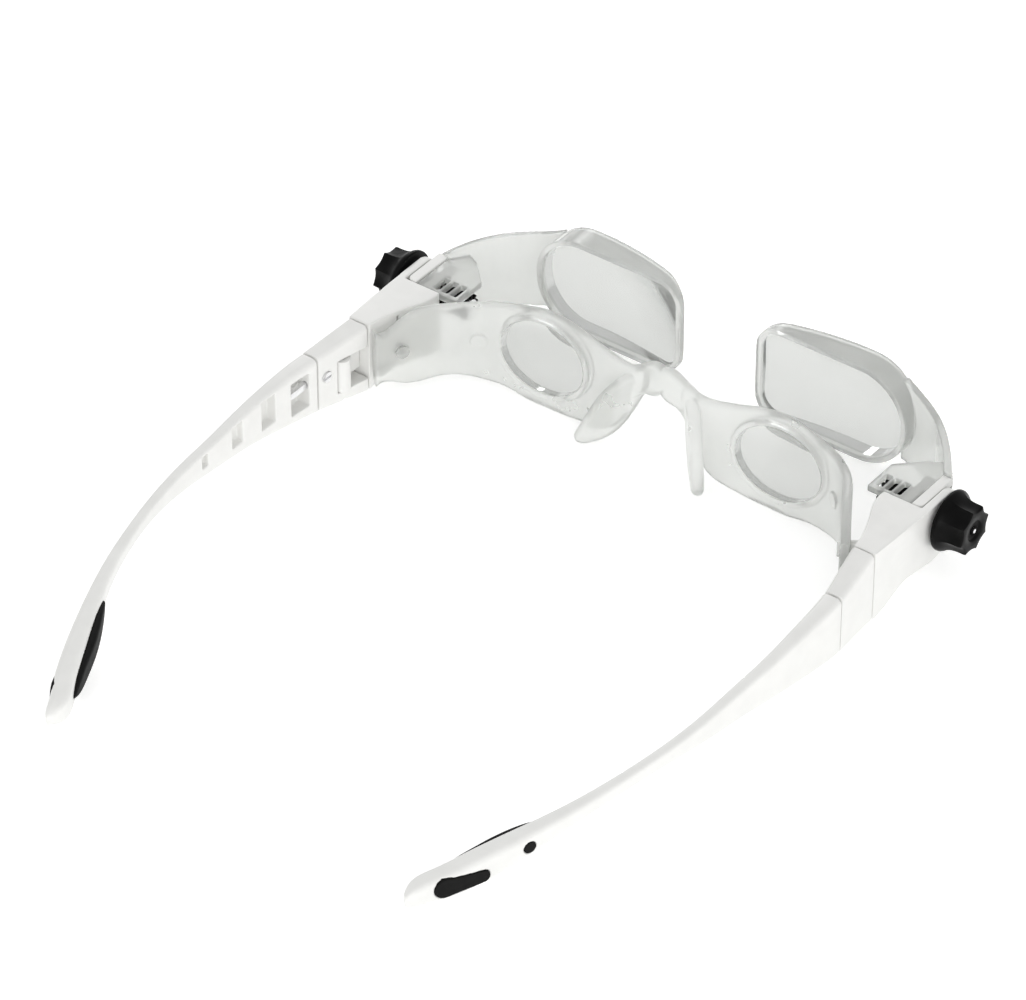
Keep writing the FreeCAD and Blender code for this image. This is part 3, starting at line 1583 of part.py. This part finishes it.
def make_ocular_lens():
    """A lens with two hollow faces."""
    blank = ocular_blank(-S.fit_gap, S.ocular_thickness)
    half_middle = S.ocular_middle / 2
    front_ball = Part.makeSphere(float(S.ocular_front_radius))
    front_ball.translate(Vector(0, -half_middle - S.ocular_front_radius, 0))
    back_ball = Part.makeSphere(float(S.ocular_back_radius))
    back_ball.translate(Vector(0, half_middle + S.ocular_back_radius, 0))
    return feature("left_ocular_lens", seat_ocular(blank.cut(front_ball).cut(back_ball), 1))


def make_frame_pin():
    body = pin_blank(
        "left_frame_pin",
        S.frame_pin_radius,
        S.frame_thickness + FRAME_PIN_BITE,
        S.frame_pin_head_radius,
        S.frame_pin_head,
    )
    angle = math.radians(S.wing_angle)
    direction = Vector(math.cos(angle), -math.sin(angle), 0)
    start = Vector(FRAME_PIN_X, -S.frame_pin_y, -S.frame_pin_drop)
    start -= direction * float(WING_FACE)
    body.Placement = Placement(start, Rotation(Vector(0, 0, 1), direction))
    return body


LEFT_PIECES = (
    make_temple_arm,
    make_ear_pad,
    make_temple_tongue,
    make_link_screw,
    make_hinge_link,
    make_fold_pin,
    make_hinge_leaf,
    make_leaf_screw,
    make_focus_housing,
    make_housing_cover,
    make_cover_screw,
    make_knob_shaft,
    make_shaft_clip,
    make_focus_pinion,
    make_knob_washer,
    make_focus_knob,
    make_objective_carrier,
    make_focus_rack,
    make_slide_block,
    make_objective_lens,
    make_ocular_lens,
    make_frame_pin,
)


def shift_to_rest(item):
    """Move a finished piece from the seam datum to the part's own origin."""
    base = item.Placement.Base
    place_text = {}
    for path, text in item.ExpressionEngine:
        place_text[path.lstrip(".")] = text
    shift = {"y": DATUM_Y, "z": DATUM_Z}
    item.Placement = Placement(
        base + Vector(0, float(DATUM_Y), float(DATUM_Z)), item.Placement.Rotation
    )
    for axis, value in shift.items():
        own = place_text.get("Placement.Base." + axis, repr(getattr(base, axis)))
        item.setExpression("Placement.Base." + axis, "{} + {}".format(own, value.formula))


nodes = []
for make in LEFT_PIECES:
    left = make()
    doc.recompute()
    shift_to_rest(left)
    right = doc.addObject("Part::Mirroring", left.Label.replace(LEFT_SIDE, RIGHT_SIDE, 1))
    right.Source = left
    right.Normal = Vector(1, 0, 0)
    nodes += [left, right]
frame = make_eyepiece_frame()
doc.recompute()
shift_to_rest(frame)
nodes.append(frame)
doc.recompute()

for item in doc.Objects:
    if "Invalid" in item.State or "Error" in item.State:
        raise RuntimeError("%s did not compute: %s" % (item.Label, item.State))
for node in nodes:
    shape = node.Shape
    if shape.isNull() or not shape.isValid() or len(shape.Solids) != 1:
        raise RuntimeError("%s is not one sound solid (%d)" % (node.Label, len(shape.Solids)))

os.makedirs("parts", exist_ok=True)
for node in nodes:
    node.Shape.exportStep("parts/%s.step" % node.Label)
    print(node.Label, round(node.Shape.Volume, 1))
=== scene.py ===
import json
import math

import bmesh
import bpy
from mathutils import Matrix, Vector


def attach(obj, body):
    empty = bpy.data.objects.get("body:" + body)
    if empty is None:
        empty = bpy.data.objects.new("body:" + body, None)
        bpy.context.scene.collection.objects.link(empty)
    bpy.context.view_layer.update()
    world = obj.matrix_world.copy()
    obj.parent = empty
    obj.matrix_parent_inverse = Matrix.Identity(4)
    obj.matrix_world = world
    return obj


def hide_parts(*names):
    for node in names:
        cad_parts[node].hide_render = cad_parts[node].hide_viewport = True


# Magnifying spectacles on a pale floor. Lengths on the spectacles are millimetres measured from the seam
# datum that the part's source uses, and at() turns them into the row frame in metres. The stage is in metres.

MILLIMETRE = 0.001
DATUM_Y = -41.3
DATUM_Z = 18.7
SIDES = ("left", "right")

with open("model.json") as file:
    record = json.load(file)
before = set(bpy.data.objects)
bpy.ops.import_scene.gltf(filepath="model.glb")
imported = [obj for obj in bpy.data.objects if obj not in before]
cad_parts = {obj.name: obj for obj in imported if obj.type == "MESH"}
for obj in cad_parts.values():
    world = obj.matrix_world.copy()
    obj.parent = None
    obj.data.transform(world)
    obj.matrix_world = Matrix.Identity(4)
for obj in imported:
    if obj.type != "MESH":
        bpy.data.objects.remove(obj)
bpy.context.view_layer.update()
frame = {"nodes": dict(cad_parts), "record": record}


def at(x, y, z):
    return Vector((x, y + DATUM_Y, z + DATUM_Z)) * MILLIMETRE


# Materials

TINT_BOUNDS = (0.35, 0.65)
CLOUD_SPREAD = 6
CLOUD_DETAIL = 3.0
GRAIN_DETAIL = 2.0
GRAIN_DEPTH = 0.02 * MILLIMETRE


def node(tree, kind, **values):
    """A new shader node, with each value on its input of that name or else on its setting."""
    made = tree.nodes.new(kind)
    for name, value in values.items():
        if name in made.inputs:
            made.inputs[name].default_value = value
        else:
            setattr(made, name, value)
    return made


def add_grain(tree, shader, place, grain, bump):
    """Fine waves on the surface, too shallow to see but for the way they soften its shine."""
    fine = node(tree, "ShaderNodeTexNoise", Scale=grain, Detail=GRAIN_DETAIL)
    tree.links.new(place.outputs["Object"], fine.inputs["Vector"])
    raised = node(tree, "ShaderNodeBump", Strength=bump, Distance=GRAIN_DEPTH)
    tree.links.new(fine.outputs["Fac"], raised.inputs["Height"])
    tree.links.new(raised.outputs["Normal"], shader.inputs["Normal"])


def surface(name, dark, light, rough, grain, bump=0.0, **sockets):
    """A shader whose colour and roughness drift a little over the surface, as moulded plastic does."""
    material = bpy.data.materials.new(name)
    material.use_nodes = True
    tree = material.node_tree
    shader = tree.nodes["Principled BSDF"]
    for key, value in sockets.items():
        shader.inputs[key.replace("_", " ")].default_value = value
    place = node(tree, "ShaderNodeTexCoord")
    cloud = node(tree, "ShaderNodeTexNoise", Scale=grain / CLOUD_SPREAD, Detail=CLOUD_DETAIL)
    tree.links.new(place.outputs["Object"], cloud.inputs["Vector"])
    tint = node(tree, "ShaderNodeValToRGB")
    for stop, position, colour in zip(tint.color_ramp.elements, TINT_BOUNDS, (dark, light)):
        stop.position = position
        stop.color = (*colour, 1)
    tree.links.new(cloud.outputs["Fac"], tint.inputs["Fac"])
    tree.links.new(tint.outputs["Color"], shader.inputs["Base Color"])
    polish = node(tree, "ShaderNodeMapRange")
    polish.inputs["To Min"].default_value = rough[0]
    polish.inputs["To Max"].default_value = rough[1]
    tree.links.new(cloud.outputs["Fac"], polish.inputs["Value"])
    tree.links.new(polish.outputs["Result"], shader.inputs["Roughness"])
    if bump:
        add_grain(tree, shader, place, grain, bump)
    return material


WHITE = surface(
    "white_plastic",
    dark=(0.81, 0.81, 0.79),
    light=(0.84, 0.84, 0.82),
    rough=(0.28, 0.36),
    grain=1200,
    bump=0.06,
    IOR=1.5,
)
FROSTED = surface(
    "frosted_plastic",
    dark=(0.86, 0.87, 0.85),
    light=(0.90, 0.91, 0.89),
    rough=(0.24, 0.34),
    grain=700,
    bump=0.08,
    IOR=1.32,
    Transmission_Weight=0.68,
)
CLEAR = surface(
    "clear_plastic",
    dark=(0.86, 0.87, 0.85),
    light=(0.89, 0.90, 0.88),
    rough=(0.12, 0.20),
    grain=500,
    IOR=1.30,
    Transmission_Weight=0.66,
)
LENS = surface(
    "lens_plastic",
    dark=(0.77, 0.78, 0.765),
    light=(0.79, 0.80, 0.785),
    rough=(0.03, 0.05),
    grain=400,
    IOR=1.34,
    Transmission_Weight=0.80,
)
BLACK = surface(
    "black_plastic",
    dark=(0.0015, 0.0015, 0.0015),
    light=(0.004, 0.004, 0.004),
    rough=(0.30, 0.44),
    grain=1500,
    bump=0.15,
    Specular_IOR_Level=0.08,
)
RUBBER = surface(
    "black_rubber",
    dark=(0.003, 0.003, 0.003),
    light=(0.006, 0.006, 0.006),
    rough=(0.50, 0.62),
    grain=2600,
    bump=0.25,
    Specular_IOR_Level=0.12,
)
STEEL = surface(
    "bright_steel",
    dark=(0.78, 0.78, 0.79),
    light=(0.88, 0.88, 0.89),
    rough=(0.18, 0.30),
    grain=2600,
    bump=0.10,
    Metallic=1.0,
)
FLOOR = surface(
    "pale_floor",
    dark=(0.90, 0.90, 0.895),
    light=(0.915, 0.915, 0.91),
    rough=(0.75, 0.85),
    grain=60,
    Emission_Color=(1, 1, 1, 1),
    Emission_Strength=0.42,
)

SLOT_LOOKS = {
    "white_gloss": WHITE,
    "frosted_clear": FROSTED,
    "clear_plastic": CLEAR,
    "black_gloss": BLACK,
    "black_soft": RUBBER,
    "steel": STEEL,
}
LENS_KINDS = ("objective_lens", "ocular_lens")
NODE_SLOTS = {row["node"]: row["material_slot"] for row in frame["record"]["subparts"]}
NODE_BODIES = {
    name: body for body, names in frame["record"]["behaviour"]["bodies"].items() for name in names
}
for name, obj in frame["nodes"].items():
    obj.data.materials.clear()
    obj.data.materials.append(LENS if name.endswith(LENS_KINDS) else SLOT_LOOKS[NODE_SLOTS[name]])


# Mesh helpers


def mesh_object(name, bm):
    mesh = bpy.data.meshes.new(name)
    bm.to_mesh(mesh)
    bm.free()
    obj = bpy.data.objects.new(name, mesh)
    bpy.context.scene.collection.objects.link(obj)
    return obj


def mirrored(obj, name):
    """The same mesh on the other side of the wearer."""
    bm = bmesh.new()
    bm.from_mesh(obj.data)
    bmesh.ops.transform(bm, matrix=Matrix.Diagonal((-1, 1, 1, 1)), verts=bm.verts)
    bmesh.ops.reverse_faces(bm, faces=bm.faces)
    return mesh_object(name, bm)


def dress(obj, look, *nodes):
    """Give a piece its look and the body of the node that it stands for, and hide that node."""
    body = NODE_BODIES[nodes[0]]
    obj.data.materials.clear()
    obj.data.materials.append(look)
    obj.data.polygons.foreach_set("use_smooth", [True] * len(obj.data.polygons))
    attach(obj, body)
    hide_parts(*nodes)


# Soft-edged mouldings over the shapes of the solids

WELD_GAP = 0.001 * MILLIMETRE
SMOOTH_FACTOR = 0.5
# Kind of node, its look, voxel size, and rounds of smoothing.
PAIRED_MOULDINGS = (
    ("temple_arm", WHITE, 0.22, 8),
    ("hinge_link", WHITE, 0.18, 5),
    ("focus_housing", WHITE, 0.20, 6),
    ("slide_block", WHITE, 0.15, 4),
    ("objective_carrier", CLEAR, 0.20, 10),
    ("ear_pad", RUBBER, 0.18, 5),
)
FRAME_VOXEL = 0.19
FRAME_ROUNDS = 18


def cad_copy(source, name):
    bm = bmesh.new()
    bm.from_mesh(frame["nodes"][source].data)
    bmesh.ops.remove_doubles(bm, verts=bm.verts, dist=WELD_GAP)
    return mesh_object(name, bm)


def baked(obj):
    """The object with its modifiers worked into its mesh."""
    graph = bpy.context.evaluated_depsgraph_get()
    mesh = bpy.data.meshes.new_from_object(obj.evaluated_get(graph))
    obj.modifiers.clear()
    obj.data = mesh
    return obj


def moulded(name, source, voxel, rounds):
    """Even faces laid on the node's own surface, then smoothed so that its edges turn soft."""
    obj = cad_copy(source, name)
    remesh = obj.modifiers.new("remesh", "REMESH")
    remesh.mode = "VOXEL"
    remesh.voxel_size = voxel * MILLIMETRE
    true_shape = cad_copy(source, name + "_source")
    cling = obj.modifiers.new("cling", "SHRINKWRAP")
    cling.target = true_shape
    smooth = obj.modifiers.new("smooth", "SMOOTH")
    smooth.factor = SMOOTH_FACTOR
    smooth.iterations = rounds
    baked(obj)
    bpy.data.objects.remove(true_shape)
    return obj


for kind, look, voxel, rounds in PAIRED_MOULDINGS:
    left_moulding = moulded("left_%s_moulding" % kind, "left_" + kind, voxel, rounds)
    right_moulding = mirrored(left_moulding, "right_%s_moulding" % kind)
    dress(left_moulding, look, "left_" + kind)
    dress(right_moulding, look, "right_" + kind)

frame_moulding = moulded("eyepiece_frame_moulding", "eyepiece_frame", FRAME_VOXEL, FRAME_ROUNDS)
dress(frame_moulding, FROSTED, "eyepiece_frame")


# Focus knobs: a round base that narrows into an eight-pointed grip

KNOB_LOBES = 8
KNOB_STEPS = 192
KNOB_PLACE = (73.85, -26.8, -5.7)
KNOB_TURN = math.radians(33.5)
# How sharp the grip's points are: below one, the valleys between them are broad.
KNOB_SHARPNESS = 0.75
# Place along the knob, radius, and depth of the flutes there.
KNOB_PROFILE = (
    (0.15, 2.8, 0.0),
    (0.0, 3.2, 0.0),
    (0.0, 6.9, 0.0),
    (0.12, 7.12, 0.0),
    (0.4, 7.22, 0.0),
    (0.9, 7.2, 0.0),
    (1.35, 7.0, 0.02),
    (1.9, 6.62, 0.10),
    (2.6, 6.20, 0.30),
    (3.4, 5.95, 0.55),
    (4.4, 5.82, 0.76),
    (5.4, 5.78, 0.88),
    (6.4, 5.78, 0.94),
    (6.8, 5.72, 0.94),
    (7.0, 5.55, 0.90),
    (7.05, 5.3, 0.84),
    (7.05, 4.2, 0.2),
    (7.05, 2.7, 0.0),
    (6.95, 2.6, 0.0),
    (6.5, 2.5, 0.0),
    (6.45, 2.3, 0.0),
    (6.45, 1.1, 0.0),
)


def knob_ring(bm, along, radius, flute):
    """One closed row of vertices round the knob."""
    across, forward, height = KNOB_PLACE
    ring = []
    for step in range(KNOB_STEPS):
        angle = math.tau * step / KNOB_STEPS
        valley = abs(math.sin(angle * KNOB_LOBES / 2)) ** KNOB_SHARPNESS
        reach = radius - flute * valley
        y = forward + reach * math.cos(angle + KNOB_TURN)
        z = height + reach * math.sin(angle + KNOB_TURN)
        ring.append(bm.verts.new(at(across + along, y, z)))
    return ring


def knob_mesh(name):
    bm = bmesh.new()
    rings = [knob_ring(bm, *row) for row in KNOB_PROFILE]
    for ring, following in zip(rings, rings[1:] + rings[:1]):
        for step in range(KNOB_STEPS):
            after = (step + 1) % KNOB_STEPS
            bm.faces.new((ring[step], ring[after], following[after], following[step]))
    bmesh.ops.recalc_face_normals(bm, faces=bm.faces)
    return mesh_object(name, bm)


left_knob = knob_mesh("left_knob_moulding")
right_knob = mirrored(left_knob, "right_knob_moulding")
for side, knob in zip(SIDES, (left_knob, right_knob)):
    dress(knob, BLACK, side + "_focus_knob")


# Floor, light and camera

FLOOR_HALF = 3.0
FLOOR_CELLS = 8
FLOOR_DROP = 0.0001
SKY_STRENGTH = 0.77
LIGHT_TARGET = (0, 0, 0.01)
# Name, place, width and height, and power in watts.
LIGHTS = (
    ("side_light", (-1.5, 1.6, 0.55), (1.2, 0.8), 12),
    ("front_light", (1.2, -1.6, 1.0), (0.9, 0.5), 6),
)
LENS_LENGTH = 210.5
SENSOR_WIDTH = 36
CAMERA_PLACE = (-0.6127, 0.8112, 0.8268)
CAMERA_RIGHT = (-0.8009, -0.5988, 0)
CAMERA_UP = (0.3704, -0.4954, 0.7857)


def area_light(name, place, size, power):
    light = bpy.data.lights.new(name, "AREA")
    light.shape = "RECTANGLE"
    light.size, light.size_y = size
    light.energy = power
    obj = bpy.data.objects.new(name, light)
    bpy.context.scene.collection.objects.link(obj)
    obj.location = place
    obj.rotation_euler = (Vector(LIGHT_TARGET) - Vector(place)).to_track_quat("-Z", "Y").to_euler()


def lay_floor():
    bm = bmesh.new()
    below = Matrix.Translation((0, 0, -FLOOR_DROP))
    bmesh.ops.create_grid(
        bm, x_segments=FLOOR_CELLS, y_segments=FLOOR_CELLS, size=FLOOR_HALF, matrix=below
    )
    floor = mesh_object("floor", bm)
    floor.data.materials.append(FLOOR)


def light_sky():
    world = bpy.data.worlds.new("studio")
    bpy.context.scene.world = world
    world.use_nodes = True
    sky = world.node_tree.nodes["Background"]
    sky.inputs["Color"].default_value = (1.0, 1.0, 1.0, 1)
    sky.inputs["Strength"].default_value = SKY_STRENGTH


def set_camera():
    data = bpy.data.cameras.new("camera")
    data.lens = LENS_LENGTH
    data.sensor_width = SENSOR_WIDTH
    camera = bpy.data.objects.new("camera", data)
    bpy.context.scene.collection.objects.link(camera)
    right = Vector(CAMERA_RIGHT)
    up = Vector(CAMERA_UP)
    turn = Matrix((right, up, right.cross(up))).transposed().to_4x4()
    camera.matrix_world = Matrix.Translation(Vector(CAMERA_PLACE)) @ turn
    bpy.context.scene.camera = camera
    bpy.context.scene.view_settings.view_transform = "Standard"


lay_floor()
light_sky()
for row in LIGHTS:
    area_light(*row)
set_camera()
